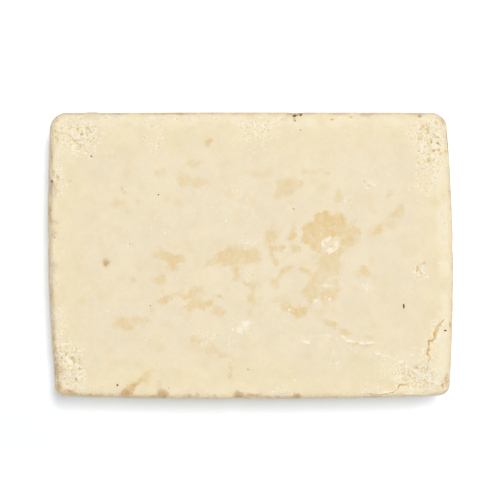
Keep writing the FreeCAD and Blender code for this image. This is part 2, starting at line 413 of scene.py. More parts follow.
# %% The kinds of wear
def waves(point):
    """The slow unevenness of a slab that has dried, 0 to 0.1 mm."""
    return 0.05 + 0.05 * noise.noise(point / 15)


def dents(point):
    """Shallow dents from knocks on the walls, 0 to 0.3 mm."""
    return 0.3 * smooth(noise.noise(point / 6.5 + Vector((3, 0, 9))), 0.25, 0.75)


def curds(point):
    """The grainy surface of broken soap, 0 at the top of a curd and 1 between two of them."""
    near, second = noise.voronoi(point / 0.95)[0][:2]
    small = noise.noise(point / 0.32)
    big = noise.noise(point / 2.2 + Vector((7, 0, 0)))
    gap = smooth(second - near, 0.34, 0.02)
    return max(0.0, min(1.0, 0.40 * gap + 0.30 * (0.5 + 0.5 * small) + 0.45 * smooth(big, -0.1, 0.6)))


def nibbles(point):
    """How a rim that has been knocked about lies back from a clean one, 0 to 1."""
    slow = noise.noise(point / 4.5 + Vector((0, 0, 11)))
    quick = noise.noise(point / 1.1 + Vector((5, 0, 0)))
    return max(0.0, 0.30 + 0.45 * slow + 0.30 * quick)


# How strongly each rim is darkened by tan of handling and painted shade, and how far in from the wall.
SHADED_TAN = {"west": (0.44, 2.2), "east": (0.44, 1.0), "north": (0.72, 1.15), "south": (0.36, 3.0)}
# How much paler the face is just inside each rim: a painted highlight, strongest towards the lamps.
RIM_HIGHLIGHT = {"west": 0.5, "east": 1.0, "north": 0.9, "south": 0.3}


def tan_and_shade_at_rim(point, inset, outward):
    """How dark a rim is from tan of handling and painted shade: broad in the west, a thin line in the east."""
    share = shares(outward)
    uneven = 1 + 0.9 * noise.noise(point / 3.5 + Vector((0, 4, 0))) + 0.5 * noise.noise(point / 0.9)
    return uneven * sum(
        strength * share[side] * smooth(inset, width, 0.1) for side, (strength, width) in SHADED_TAN.items()
    )


def highlight_band(point, inset, outward):
    """How much paler a point is in the painted highlight just inside the rims."""
    share = shares(outward)
    band = smooth(inset, 0.7, 1.6) * smooth(inset, 5.2, 1.4)
    uneven = max(0.0, 1 + 1.5 * noise.noise(point / 2.6))
    return band * uneven * sum(RIM_HIGHLIGHT[side] * share[side] for side in share)


# %% Wear the bar down and keep the fields
# The north rim stands out a little here, because a dollop of soap was left on it.
DOLLOP_FROM, DOLLOP_TO = -37.2, -33.4
names = ("crumble", "recess", "crack", "lip", "rim", "wall", "patch", "depth", "bloom", "brown", "border",
         "pale")
layers = {name: bar.verts.layers.float.new(name) for name in names}
bar.normal_update()
moves = []
for vert in bar.verts:
    point, normal = vert.co.copy(), vert.normal.copy()
    if point.z < 0.05:
        moves.append(Vector())
        continue
    x, y, z = point
    on_top = smooth(normal.z, 0.1, 0.7) * smooth(z, THICKNESS - 3.5, THICKNESS - 1.5)
    on_wall = smooth(normal.z, 0.6, 0.2) * smooth(z, 0.2, 2.0)
    at_rim = abs(x) > LENGTH / 2 - 5.5 or abs(y) > WIDTH / 2 - 4.5
    inset, outward = to_wall(point) if at_rim else (9.0, Vector())
    move = rubbed(point, inset, outward) if z > THICKNESS - 3 else Vector()
    broken = crumble(x, y) * on_top
    worn_wall = smooth(noise.noise(point / 5 + Vector((9, 0, 2))), 0.05, 0.5)
    worn_wall *= on_wall * max(smooth(z, THICKNESS - 4, THICKNESS), smooth(z, 3.5, 1.0))
    pit = pits(x, y) * on_top
    crack = along_lines(x, y, CRACKS) * on_top
    ridge = along_lines(x, y, RIDGES, 1.3) * on_top
    rim = smooth(inset, 1.5, 0.3) * smooth(z, THICKNESS - 3, THICKNESS - 0.8) * smooth(normal.z, 0.0, 0.5)
    dollop = smooth(y, WIDTH / 2 - 2, WIDTH / 2 - 1) * smooth(x, DOLLOP_FROM, DOLLOP_FROM + 1)
    dollop *= smooth(x, DOLLOP_TO, DOLLOP_TO - 1)
    depth = (waves(point) * smooth(z, 0, 4) + dents(point) * on_wall) * (1 - dollop)
    depth += 0.04 * shares(outward)["north"] * (1 - dollop)
    depth += 0.11 * broken * curds(point) * (1 - 0.7 * ridge)
    depth += 0.16 * rim * nibbles(point) * (1 - dollop)
    depth += 0.50 * pit + 0.15 * crack - 0.05 * ridge
    moves.append(move - normal * max(0.0, depth))
    vert[layers["crumble"]] = max(broken, 0.75 * worn_wall)
    # recess: the pits, which take a golden colour with painted shade
    vert[layers["recess"]] = 4 * pit
    vert[layers["crack"]] = crack
    # lip: painted highlight along the raised ridges, and paler soap along the crack lips
    vert[layers["lip"]] = max(ridge, 0.8 * along_lines(x, y, CRACKS, 3.2, 1.4) * on_top * (1 - crack))
    # the rim attribute: tan of handling with painted shade over the rounded rims
    vert[layers["rim"]] = tan_and_shade_at_rim(point, inset, outward) * smooth(z, THICKNESS - 7, THICKNESS - 0.5)
    vert[layers["wall"]] = on_wall
    # the pale band inside the rims is a painted highlight
    vert[layers["pale"]] = highlight_band(point, inset, outward) * on_top
for vert, move in zip(bar.verts, moves):
    vert.co += move
print("worn down")

# %% [markdown]
# ## Marks on the face
#
# The yellower patches on the broad face are where oil has come to the surface. It has crept outwards by
# about the same distance everywhere, so a small patch is as soft at its edge as a great one. They are
# painted as overlapping blots, given one by one, each with its own depth of colour, and the material
# frays them. The pale bloom is dried salts, and the brown marks on the rims are dirt and rancid oil.

# %% Patches of oil
# Each place: x, y, half length, half width, turn, depth of colour.
PATCHES = [
    # the great patch, its right lobe and its stem
    (17.8, 7.6, 3.5, 1.9, -8, 1.0), (15.6, 8.3, 1.5, 1.2, 0, 1.0), (19.6, 6.5, 2.2, 1.3, -20, 0.9),
    (14.0, 4.8, 2.3, 2.8, -15, 0.9), (15.2, 2.5, 1.7, 1.5, 0, 0.75), (20.4, 4.7, 1.5, 1.1, 0, 0.5),
    (22.5, 4.7, 1.3, 2.7, -14, 0.9), (20.9, 2.7, 1.6, 0.8, -8, 0.7), (17.7, -0.9, 2.4, 2.3, 0, 0.68),
    (17.6, 4.9, 1.8, 1.1, 0, 0.85), (12.7, 6.2, 1.3, 1.5, 0, 0.95), (18.0, 2.5, 0.6, 0.5, 0, 0.8),
    (17.4, -4.6, 2.8, 4.6, 0, 0.48),
    (19.9, 1.1, 0.9, 0.8, 0, 0.8), (13.9, -0.6, 0.8, 0.6, 0, 0.45), (12.6, -3.6, 1.1, 0.7, -10, 0.65),
    (14.4, -4.6, 1.7, 1.2, 30, 0.5), (13.2, -8.1, 1.6, 2.4, 0, 0.68), (17.3, -9.1, 1.9, 1.2, 0, 0.78),
    (17.3, -5.3, 0.8, 0.6, 0, 0.5), (18.8, -4.8, 0.5, 0.6, 0, 0.35), (16.1, -11.8, 0.8, 1.2, 0, 0.35),
    (10.3, -12.3, 1.8, 1.2, -10, 0.85), (7.8, -11.4, 1.2, 0.9, -20, 0.5), (5.4, -9.5, 0.9, 0.7, 0, 0.3),
    # the small patches to its left
    (4.3, 4.4, 0.9, 1.4, 0, 0.6), (9.2, 4.6, 1.2, 1.2, -25, 0.8), (9.7, 6.0, 0.4, 0.9, 0, 0.6),
    (10.0, 1.3, 1.3, 1.2, 0, 0.7), (4.8, 1.4, 1.0, 1.3, 0, 0.75), (7.0, 1.4, 0.7, 1.0, 0, 0.75),
    (5.3, -1.0, 0.5, 1.2, 0, 0.65), (6.9, -4.1, 2.3, 0.7, 46, 0.7), (8.6, -2.7, 1.0, 0.7, 20, 0.65),
    (5.4, -6.0, 0.9, 1.2, 0, 0.55), (-3.3, -4.2, 1.1, 1.6, 0, 0.75), (-1.0, -6.0, 1.5, 0.9, -35, 0.8),
    (0.2, -8.8, 0.7, 1.8, 0, 0.72), (0.2, -12.2, 0.6, 1.2, 0, 0.35), (1.9, -11.3, 0.6, 0.8, 0, 0.28),
    # the band across the middle
    (-4.9, -0.1, 2.6, 2.0, 0, 0.78), (-2.0, -0.1, 2.4, 1.9, 0, 0.74), (0.9, -0.1, 1.5, 1.7, 0, 0.68),
    (-8.8, -1.7, 1.5, 0.5, 0, 0.7), (-7.2, -0.4, 0.9, 0.9, 0, 0.6),
    # the bands and patches on the left
    (-19.6, 0.6, 1.6, 1.1, 0, 0.6), (-16.8, -0.5, 2.4, 1.3, -5, 0.8), (-17.0, -2.2, 1.1, 1.1, 0, 0.8),
    (-20.2, -5.7, 1.5, 0.9, 10, 0.65), (-19.4, -5.1, 0.5, 0.5, 0, 0.6), (-26.5, -5.6, 0.6, 0.5, 0, 0.75),
    (-19.5, -10.3, 0.9, 1.0, 0, 0.8), (-18.3, -8.9, 1.0, 0.7, -30, 0.72), (-16.0, -8.6, 1.5, 0.4, 0, 0.5),
    (-13.4, -8.8, 1.6, 0.8, 15, 0.68), (-12.0, -7.8, 1.1, 0.5, 20, 0.62), (-10.6, -6.9, 0.6, 0.9, -20, 0.58),
    (-21.2, -12.0, 0.6, 0.5, 0, 0.4), (-14.0, -11.7, 1.6, 0.6, 10, 0.8), (-10.9, -10.9, 2.6, 1.1, 0, 0.8),
    (-8.5, -10.2, 0.6, 0.5, 0, 0.65), (-6.8, -12.4, 1.6, 0.8, -15, 0.55), (-27.5, -15.1, 1.3, 0.7, 8, 0.72),
    (-28.3, -15.3, 2.4, 1.0, 0, 0.3), (-23.9, -14.5, 1.2, 0.6, 10, 0.64), (-25.6, -14.8, 1.0, 0.5, 0, 0.35),
    # faint patches above and below
    (8.7, 16.0, 2.9, 1.4, 8, 0.52), (7.6, 14.7, 1.9, 1.3, 30, 0.52), (6.0, 13.4, 1.3, 1.0, 20, 0.45),
    (2.0, 18.3, 3.4, 0.7, 3, 0.32), (14.6, 18.4, 2.8, 0.6, 0, 0.46), (19.5, 13.2, 0.8, 1.1, 0, 0.50),
    (-14.8, 16.8, 1.5, 1.4, 20, 0.52), (-11.1, 16.2, 2.0, 0.9, 0, 0.40), (-12.9, 20.6, 1.9, 0.6, 8, 0.50),
    (-20.2, 18.6, 1.2, 0.8, 0, 0.36), (-25.0, 11.7, 0.8, 0.6, 0, 0.48), (-27.3, 10.1, 1.2, 0.6, -40, 0.42),
    (-29.8, 11.5, 1.5, 0.5, 0, 0.36), (-31.5, 21.9, 1.7, 1.1, 20, 0.22), (28.2, 5.7, 0.9, 1.7, -12, 0.7),
    (30.9, 7.3, 1.5, 0.8, 0, 0.50), (32.9, 9.5, 1.7, 1.0, 25, 0.55), (30.6, 13.5, 0.9, 0.8, 0, 0.45),
    (25.1, -3.2, 0.9, 1.1, 0, 0.85), (24.7, -3.4, 1.8, 1.6, 0, 0.35), (17.9, -15.1, 1.6, 0.7, -30, 0.85),
    # the thin strips at (22.6, -19.4) and (26.2, -19.9) are painted shadow just south of the ridge, not oil
    (21.1, -17.0, 1.1, 0.5, -20, 0.75), (26.2, -18.2, 1.2, 0.35, 8, 0.55), (22.6, -19.4, 1.5, 0.2, -6, 0.7),
    (26.2, -19.9, 1.5, 0.2, -6, 0.7), (-12.3, -18.5, 1.5, 0.9, 0, 0.52), (-8.6, -20.8, 1.6, 0.9, -20, 0.52),
    (-5.7, -22.2, 1.3, 0.7, 0, 0.50), (-4.0, -23.1, 0.4, 0.8, 0, 0.25), (9.6, -31.0, 3.0, 0.5, 0, 0.3),
    (-27.4, -30.0, 1.1, 1.5, -40, 1.0), (-25.4, -28.5, 1.7, 0.7, 35, 1.0), (-23.2, -27.1, 1.5, 0.6, 30, 0.6),
    (-21.6, -25.4, 0.6, 1.2, -20, 0.3), (-4.6, -26.0, 0.7, 2.4, 4, 0.45), (35.6, 1.2, 2.0, 1.6, 0, 0.2),
    (-9.2, 25.3, 0.6, 0.7, 0, 0.9),
    (-32.9, 2.9, 0.6, 1.8, 10, 0.2), (-28.2, 15.2, 0.3, 1.2, 0, 0.5), (-12.0, -9.8, 1.4, 0.9, 0, 0.6),
    (-6.9, -9.1, 0.5, 0.35, 0, 0.8), (-32.3, -1.8, 1.1, 1.2, 0, 0.35), (5.2, 29.5, 0.5, 0.35, 0, 0.6),
    (8.2, 30.4, 1.0, 0.25, 22, 0.7),
]

# %% Bloom and brown marks
# The same six numbers for each place.
BLOOM = [
    (17.0, 3.6, 0.8, 0.40, 20, 1.1), (19.0, 2.7, 0.45, 0.8, -20, 1.0), (17.7, 1.2, 1.0, 0.5, -10, 1.2),
    (16.2, 2.6, 0.40, 0.7, 15, 1.0), (19.2, 1.7, 0.4, 0.4, 0, 0.9), (-0.9, -15.0, 0.9, 0.8, 0, 1.0),
    (-2.3, -16.6, 0.8, 0.6, 0, 1.0), (-1.6, -15.9, 0.5, 0.8, -40, 0.7), (14.6, -10.0, 0.5, 0.3, 0, 0.9),
    (17.4, -9.6, 0.3, 0.5, -15, 1.0), (8.7, -11.7, 0.4, 0.3, 0, 0.9), (17.0, -6.8, 2.0, 0.7, 0, 0.4),
    (25.5, -6.6, 1.0, 0.7, 0, 0.5), (-2.0, 3.2, 1.0, 0.6, 0, 0.5), (41.0, 24.5, 1.0, 0.8, 0, 0.6),
    (38.0, 24.2, 0.5, 0.5, 0, 0.8), (-38.7, 26.5, 0.8, 0.6, 0, 0.7), (-34.6, 27.4, 0.8, 0.5, 30, 0.7),
    (-36.0, 29.4, 0.5, 0.8, 0, 0.6), (-31.5, -12.2, 0.5, 0.3, 0, 0.7), (-35.3, 21.9, 0.6, 0.6, 0, 0.6),
    (37.3, 28.4, 0.4, 1.0, 0, 0.6), (8.7, -2.9, 0.3, 0.25, 0, 0.8), (-19.0, 1.0, 0.4, 0.2, 0, 0.6),
    (5.6, 30.1, 1.6, 0.4, 30, 0.7), (-21.0, 30.6, 1.6, 0.4, 0, 0.6), (12.6, -19.1, 1.0, 0.3, -10, 0.6),
]
BROWNED = [
    # the south rim, from the west
    (-40.4, -30.4, 2.2, 0.7, -8, 0.65), (-36.0, -31.0, 2.6, 0.5, -3, 0.45), (-32.4, -31.2, 2.0, 0.5, 0, 0.45),
    (-27.6, -30.6, 1.4, 1.3, 0, 0.75), (-26.2, -29.2, 1.4, 0.7, 40, 0.5), (-24.4, -27.9, 1.2, 0.5, 35, 0.3),
    (-24.0, -31.3, 6.0, 0.5, 0, 0.5), (-19.5, -30.7, 1.3, 1.1, 0, 0.9),
    (-20.1, -28.6, 0.7, 1.3, 0, 0.35), (-13.4, -31.2, 2.6, 0.5, 0, 0.5), (-11.7, -31.0, 0.8, 0.7, 0, 0.65),
    (-8.0, -31.2, 0.8, 0.5, 0, 0.5), (-2.6, -30.9, 1.4, 0.9, 0, 0.95), (0.0, -31.0, 2.0, 0.6, 0, 0.7),
    (5.0, -31.4, 3.5, 0.4, 0, 0.4), (10.4, -31.1, 1.1, 0.8, 0, 0.8), (19.0, -31.5, 5.0, 0.3, 0, 0.35),
    (28.6, -31.4, 4.0, 0.35, 0, 0.4), (-4.5, -26.0, 0.5, 1.9, 4, 0.30), (-3.5, -22.4, 0.4, 1.1, 0, 0.2),
    # the west rim, from the south
    (-42.8, -29.0, 1.2, 1.4, 20, 0.6), (-43.4, -24.8, 2.4, 3.4, 0, 0.62), (-41.6, -25.0, 0.8, 0.5, 0, 0.5),
    (-43.3, -21.0, 0.7, 1.4, 0, 0.55), (-43.7, -17.5, 0.4, 2.4, 0, 0.45), (-44.4, -9.0, 0.35, 4.5, 0, 0.4),
    (-44.7, -1.0, 0.35, 3.0, 0, 0.45), (-43.7, 5.2, 0.9, 1.2, 0, 0.5), (-43.3, 7.4, 1.0, 0.9, 0, 0.45),
    (-44.5, 9.5, 0.4, 2.6, 0, 0.55), (-43.6, 14.8, 0.9, 2.6, 0, 0.42), (-43.4, -2.6, 0.7, 1.6, 0, 0.4),
    (-42.7, 17.3, 0.5, 0.6, 0, 0.55),
    (-43.7, 18.4, 0.5, 0.9, 0, 0.5), (-44.2, 22.8, 0.35, 2.4, 3, 0.55), (-43.0, 25.6, 0.3, 1.2, 5, 0.4),
    # the north rim, from the west
    (-28.0, 31.6, 3.0, 0.3, 0, 0.45), (-18.4, 31.6, 5.0, 0.35, 0, 0.6), (-7.0, 31.7, 3.5, 0.3, 0, 0.4),
    (9.8, 31.2, 0.7, 0.45, 20, 1.0), (11.1, 31.5, 0.5, 0.4, 30, 0.9), (9.9, 30.1, 0.5, 0.5, 0, 0.6),
    (8.4, 31.3, 0.8, 0.4, 25, 0.6), (25.6, 31.2, 1.5, 0.5, 0, 0.55), (34.0, 31.5, 1.8, 0.3, 0, 0.55),
    (37.6, 31.0, 0.5, 0.3, 0, 0.7), (41.6, 30.5, 0.8, 0.4, -20, 0.4), (42.6, 29.8, 0.4, 0.9, 20, 0.55),
    # the east rim and the face
    (44.0, 14.5, 0.25, 0.8, 0, 0.5), (44.4, 2.6, 0.25, 0.6, 0, 0.4), (44.3, -15.4, 0.3, 1.0, 0, 0.55),
    (43.5, -27.4, 0.45, 1.9, 0, 0.65), (42.6, -28.6, 0.7, 0.4, 30, 0.5), (-32.1, -1.6, 0.6, 0.9, 0, 0.75),
    (-32.7, -2.0, 0.4, 0.3, 0, 0.4), (-9.0, 25.3, 0.6, 0.6, 0, 0.42), (18.1, 30.2, 0.6, 0.4, 0, 0.35),
]


CREEP = 0.8  # millimetres from a patch's nominal edge to where it fades out, and to its full colour


def stain(x, y, place):
    """A blot whose edge is equally soft all round, whatever its size."""
    cx, cy, half_x, half_y, turn = place[:5]
    c, s = math.cos(math.radians(turn)), math.sin(math.radians(turn))
    u, v = (x - cx) * c + (y - cy) * s, (y - cy) * c - (x - cx) * s
    ratio = math.hypot(u / half_x, v / half_y)
    slope = math.hypot(u / half_x ** 2, v / half_y ** 2) or 1.0
    outside = max(ratio * (ratio - 1) / slope, -min(half_x, half_y))
    return smooth(outside, CREEP, -CREEP)


def patch(x, y, squares):
    """How much oil has come out at a point, 0 to 1, and how deep its colour is there."""
    x, y = warped(*warped(x, y, 0.9, 2.4), 0.35, 0.9)
    found = squares.get((int(x // SQUARE), int(y // SQUARE)), ())
    found = [(stain(x, y, place), place[5]) for place in found]
    bare = math.prod(1 - value for value, _ in found)
    weight = sum(value * strength ** 2 for value, strength in found)
    depth = sum(value * strength ** 3 for value, strength in found) / weight if weight else 0.0
    return 1 - bare, depth


patch_squares, bloom_squares, brown_squares = in_squares(PATCHES), in_squares(BLOOM), in_squares(BROWNED)
for vert in bar.verts:
    x, y, z = vert.co
    top = smooth(z, THICKNESS - 4.0, THICKNESS - 1.0)
    inset = min(LENGTH / 2 - abs(x), WIDTH / 2 - abs(y))
    vert[layers["patch"]], vert[layers["depth"]] = (top * value for value in patch(x, y, patch_squares))
    vert[layers["bloom"]] = top * strongest(*warped(x, y, 0.5, 0.9), bloom_squares)
    vert[layers["brown"]] = top * strongest(*warped(x, y, 0.35, 1.2), brown_squares)
    vert[layers["border"]] = smooth(inset, 12.0, 2.0)
print(f"{len(PATCHES)} patches, {len(BLOOM)} blooms and {len(BROWNED)} brown marks")

# %% Keep the worn bar as a piece
def piece(bm, name):
    """Scale a bmesh from millimetres to metres and keep it as an object at the origin."""
    bmesh.ops.scale(bm, vec=(MM,) * 3, verts=bm.verts)
    for face in bm.faces:
        face.smooth = True
    mesh = bpy.data.meshes.new(name)
    bm.to_mesh(mesh)
    bm.free()
    obj = bpy.data.objects.new(name, mesh)
    bpy.context.scene.collection.objects.link(obj)
    return obj


surface = BVHTree.FromBMesh(bar)
worn_bar = piece(bar, "worn_bar")
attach(worn_bar, "root")
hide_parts("soap_bar")
print(f"{worn_bar.name}: {len(worn_bar.data.polygons)} faces")

# %% [markdown]
# ## Loose grains and specks
#
# Where the soap crumbles, small pale grains lie in the hollows and cling to the surface. Each is one
# low ball, squashed and turned at random and sunk by half, so that it seems to be a part of the surface
# that is coming away. One piece holds them all. The dark and rusty specks are bits of dirt that were
# stirred into the soap, and they are made in the same way at listed places.

# %% Strew grains and specks
def lump(bm, centre, half_sizes, turn, roughness, rng, detail=1):
    """One small uneven ball with the given half sizes."""
    made = bmesh.ops.create_icosphere(bm, subdivisions=detail, radius=1)["verts"]
    c, s = math.cos(turn), math.sin(turn)
    for vert in made:
        p = vert.co * (1 + rng.uniform(-roughness, roughness))
        p = Vector((p.x * half_sizes[0], p.y * half_sizes[1], p.z * half_sizes[2]))
        vert.co = Vector((p.x * c - p.y * s, p.x * s + p.y * c, p.z)) + centre


def under(x, y):
    """The point of the worn surface straight below a place, and its normal."""
    hit, normal, _, _ = surface.ray_cast(Vector((x, y, THICKNESS + 5)), Vector((0, 0, -1)))
    return hit, normal


def strew(count, seed):
    """Grains where the soap crumbles, more of them where it crumbles more."""
    rng = random.Random(seed)
    bm = bmesh.new()
    placed = 0
    while placed < count:
        place = rng.choice(CRUMBLED)
        x = rng.gauss(place[0], place[2] * 0.6)
        y = rng.gauss(place[1], place[3] * 0.6)
        if crumble(x, y) < 0.25 + 0.6 * rng.random() or pits(x, y) > 0.06:
            continue
        hit, normal = under(x, y)
        if hit is None or normal.z < 0.7:
            continue
        size = 0.09 + 0.17 * rng.random() ** 2
        half = (size * rng.uniform(0.8, 1.7), size * rng.uniform(0.7, 1.1), size * rng.uniform(0.4, 0.6))
        middle = min(hit.z + half[2] * 0.2, THICKNESS - 0.01 - half[2] * 1.2)
        lump(bm, Vector((hit.x, hit.y, middle)), half, rng.uniform(0, math.pi), 0.18, rng)
        placed += 1
    return bm


grains = piece(strew(600, 5), "loose_grains")
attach(grains, "root")
print(f"{grains.name}: {len(grains.data.polygons)} faces")

# Each speck: x, y, half length, half width, turn in degrees.
DARK_SPECKS = [
    (34.0, -11.2, 0.21, 0.56, 5), (43.2, -16.6, 0.34, 0.17, -5), (-29.5, -28.7, 0.26, 0.28, 0),
    (-22.2, -11.1, 0.20, 0.15, -20), (-20.4, 13.5, 0.20, 0.16, 0), (-44.0, 16.5, 0.22, 0.28, 0),
    (9.8, 31.0, 0.45, 0.24, 20), (11.2, 31.2, 0.30, 0.20, 35), (-35.3, 22.0, 0.16, 0.15, 0),
    (-32.1, -2.0, 0.18, 0.11, 0), (-43.4, 4.0, 0.14, 0.12, 0), (9.9, 29.9, 0.15, 0.11, 0),
]
RUSTY_SPECKS = [
    (18.1, 30.2, 0.42, 0.18, 0), (11.1, 27.9, 0.28, 0.18, 0), (9.5, 10.4, 0.20, 0.18, 0),
    (37.6, 30.7, 0.32, 0.18, -15), (-37.4, 26.8, 0.32, 0.24, 40), (-39.9, 16.5, 0.20, 0.20, 0),
    (-0.5, -25.2, 0.32, 0.16, -25), (22.3, 30.7, 0.34, 0.14, 5), (-26.3, -30.4, 0.26, 0.18, 10),
    (-30.6, -30.8, 0.28, 0.18, 0), (-18.1, -29.3, 0.22, 0.16, 0), (-42.7, 17.4, 0.28, 0.22, 30),
    (-43.0, -6.1, 0.18, 0.14, 0), (-44.4, 1.3, 0.20, 0.24, 0),
]


def specks(places, seed):
    """Flat specks that lie in the surface with their tops just above it."""
    rng = random.Random(seed)
    bm = bmesh.new()
    for x, y, half_x, half_y, turn in places:
        centre = Vector((x, y, min(under(x, y)[0].z + 0.01, THICKNESS - 0.06)))
        lump(bm, centre, (half_x, half_y, 0.05), math.radians(turn), 0.12, rng, detail=2)
    return bm


dark_specks = piece(specks(DARK_SPECKS, 3), "dark_specks")
rusty_specks = piece(specks(RUSTY_SPECKS, 4), "rusty_specks")
for obj in (dark_specks, rusty_specks):
    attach(obj, "root")
print(f"{len(DARK_SPECKS)} dark specks and {len(RUSTY_SPECKS)} rusty ones")

# %% [markdown]
# ## The waxy material
#
# Soap is a pale wax: light sinks in a little, and the surface has a soft sheen and no sharp reflection.
# Its cream colour drifts a little warmer towards the border. The attributes that the wearing left say
# where it is broken, browned or patched, and noise at two sizes frays each of those edges. The smallest
# things, golden pinholes under half a millimetre across, are cells of a Voronoi texture, because a mesh
# fine enough for them would be far too heavy.

# %% Helpers for materials
def rgb(red, green, blue):
    """A colour from 0 to 255 as it looks on screen, as the linear colour that a shader takes."""
    return tuple(((v / 255 + 0.055) / 1.055) ** 2.4 for v in (red, green, blue)) + (1,)


def add(tree, kind, settings=None, **inputs):
    """A node with its settings, and each input set to a value or linked from a socket.

    An input is named with its spaces as underscores, or by its number after one underscore.
    """
    made = tree.nodes.new(kind)
    for name, value in (settings or {}).items():
        setattr(made, name, value)
    for name, value in inputs.items():
        socket = made.inputs[int(name[1:])] if name[0] == "_" else made.inputs[name.replace("_", " ")]
        if isinstance(value, bpy.types.NodeSocket):
            tree.links.new(value, socket)
        else:
            socket.default_value = value
    return made


def step(tree, value, start, end, low=0.0, high=1.0):
    """A soft step of a socket from low at start to high at end."""
    settings = {"interpolation_type": "SMOOTHSTEP"}
    ends = {"From_Min": start, "From_Max": end, "To_Min": low, "To_Max": high}
    return add(tree, "ShaderNodeMapRange", settings, Value=value, **ends).outputs["Result"]


def mixed(tree, factor, first, second, blend="MIX"):
    """Two colours mixed by a factor."""
    settings = {"data_type": "RGBA", "blend_type": blend}
    return add(tree, "ShaderNodeMix", settings, _0=factor, _6=first, _7=second).outputs[2]


def times(tree, first, second, plus=0.0):
    """first * second + plus, of sockets and values."""
    return add(tree, "ShaderNodeMath", {"operation": "MULTIPLY_ADD"}, _0=first, _1=second, _2=plus).outputs[0]


def plus(tree, first, second):
    """The sum of two sockets."""
    return add(tree, "ShaderNodeMath", {"operation": "ADD"}, _0=first, _1=second).outputs[0]


def attribute(tree, name):
    """A number that the mesh keeps for each point."""
    return add(tree, "ShaderNodeAttribute", {"attribute_name": name}).outputs["Fac"]


def frayed(tree, name, fray, start, end, most):
    """The mask of an attribute whose edge a noise has frayed; it is 0 wherever the attribute is."""
    value = attribute(tree, name)
    edge = step(tree, plus(tree, value, fray), start, end, 0.0, most)
    return times(tree, edge, step(tree, value, 0.0, 0.12))


def noise_at(tree, place, millimetres, detail=3.0, roughness=0.55):
    """Noise whose patches are about so many millimetres across."""
    inputs = {"Scale": 1 / (millimetres * MM), "Detail": detail, "Roughness": roughness}
    return add(tree, "ShaderNodeTexNoise", None, Vector=place, **inputs).outputs["Fac"]


def grey(tree, value):
    """A number as a grey colour."""
    return add(tree, "ShaderNodeCombineColor", None, Red=value, Green=value, Blue=value).outputs[0]


# %% Dots scattered over a surface
def scattered_dots():
    """A node group of ragged dots, each with its own size and its own random number.

    Sizes are shares of the spacing. Where Crowding is 0 there are no dots, and at 1 all of them.
    """
    group = bpy.data.node_groups.new("scattered_dots", "ShaderNodeTree")
    for name in ("Spacing", "Offset", "Smallest", "Largest", "Crowding"):
        group.interface.new_socket(name, in_out="INPUT", socket_type="NodeSocketFloat")
    group.interface.new_socket("Dots", in_out="OUTPUT", socket_type="NodeSocketFloat")
    given = group.nodes.new("NodeGroupInput").outputs
    place = add(group, "ShaderNodeTexCoord").outputs["Object"]
    place = add(group, "ShaderNodeVectorMath", {"operation": "ADD"}, _0=place, _1=given["Offset"]).outputs[0]
    ragged = add(group, "ShaderNodeTexNoise", None, Vector=place, Scale=1 / (0.35 * MM), Detail=2.0)
    amount = (0.00030, 0.00030, 0.00030)
    shifted = {"_0": ragged.outputs["Color"], "_1": amount, "_2": place}
    place = add(group, "ShaderNodeVectorMath", {"operation": "MULTIPLY_ADD"}, **shifted).outputs[0]
    per_metre = add(group, "ShaderNodeMath", {"operation": "DIVIDE"}, _0=1.0, _1=given["Spacing"]).outputs[0]
    cells = add(group, "ShaderNodeTexVoronoi", None, Vector=place, Scale=per_metre).outputs
    chance = add(group, "ShaderNodeSeparateColor", None, Color=cells["Color"]).outputs
    size = add(group, "ShaderNodeMapRange", None, Value=chance[0], To_Min=given["Smallest"],
               To_Max=given["Largest"]).outputs["Result"]
    dot = step(group, cells["Distance"], size, times(group, size, 0.45))
    spare = add(group, "ShaderNodeMath", {"operation": "SUBTRACT"}, _0=given["Crowding"], _1=chance[1])
    present = step(group, spare.outputs[0], 0.0, 0.12)
    put_out = group.nodes.new("NodeGroupOutput")
    group.links.new(times(group, dot, present), put_out.inputs["Dots"])
    return group


dots_group = scattered_dots()


def dots(tree, millimetres, offset, smallest, largest, crowding):
    """Dots about so many millimetres apart, as 1 inside and 0 outside."""
    values = {"Spacing": millimetres * MM, "Offset": offset, "Smallest": smallest, "Largest": largest}
    settings = {"node_tree": dots_group}
    return add(tree, "ShaderNodeGroup", settings, Crowding=crowding, **values).outputs["Dots"]


# %% The grain of the soap, shared by the bar and its grains
def soap_grain():
    """A node group: the cream colour with its slow drift and fine grain, and the grain's height."""
    group = bpy.data.node_groups.new("soap_grain", "ShaderNodeTree")
    for name, kind in (("Cream", "Color"), ("Warm", "Color"), ("Warmth", "Float"), ("Broken", "Float")):
        group.interface.new_socket(name, in_out="INPUT", socket_type="NodeSocket" + kind)
    for name, kind in (("Colour", "Color"), ("Height", "Float")):
        group.interface.new_socket(name, in_out="OUTPUT", socket_type="NodeSocket" + kind)
    given = group.nodes.new("NodeGroupInput").outputs
    put_out = group.nodes.new("NodeGroupOutput")
    place = add(group, "ShaderNodeTexCoord").outputs["Object"]
    slow = noise_at(group, place, 16, 2)
    cloudy = noise_at(group, place, 4.5, 3, 0.6)
    fine = noise_at(group, place, 0.9, 4, 0.7)
    grit = noise_at(group, place, 0.30, 2, 0.6)
    warmth = times(group, step(group, slow, 0.38, 0.66), 0.35, given["Warmth"])
    colour = mixed(group, warmth, given["Cream"], given["Warm"])
    shade = step(group, cloudy, 0.30, 0.70, 0.975, 1.018)
    shade = times(group, shade, step(group, fine, 0.3, 0.72, 0.980, 1.012))
    colour = mixed(group, 1.0, colour, grey(group, shade), "MULTIPLY")
    height = times(group, times(group, grit, given["Broken"]), 0.015, times(group, fine, 0.022))
    group.links.new(colour, put_out.inputs["Colour"])
    group.links.new(height, put_out.inputs["Height"])
    return group


grain_group = soap_grain()


def grain(tree, cream, warm, warmth, broken):
    """The soap's grain with these colours."""
    inputs = {"Cream": cream, "Warm": warm, "Warmth": warmth, "Broken": broken}
    return add(tree, "ShaderNodeGroup", {"node_tree": grain_group}, **inputs).outputs


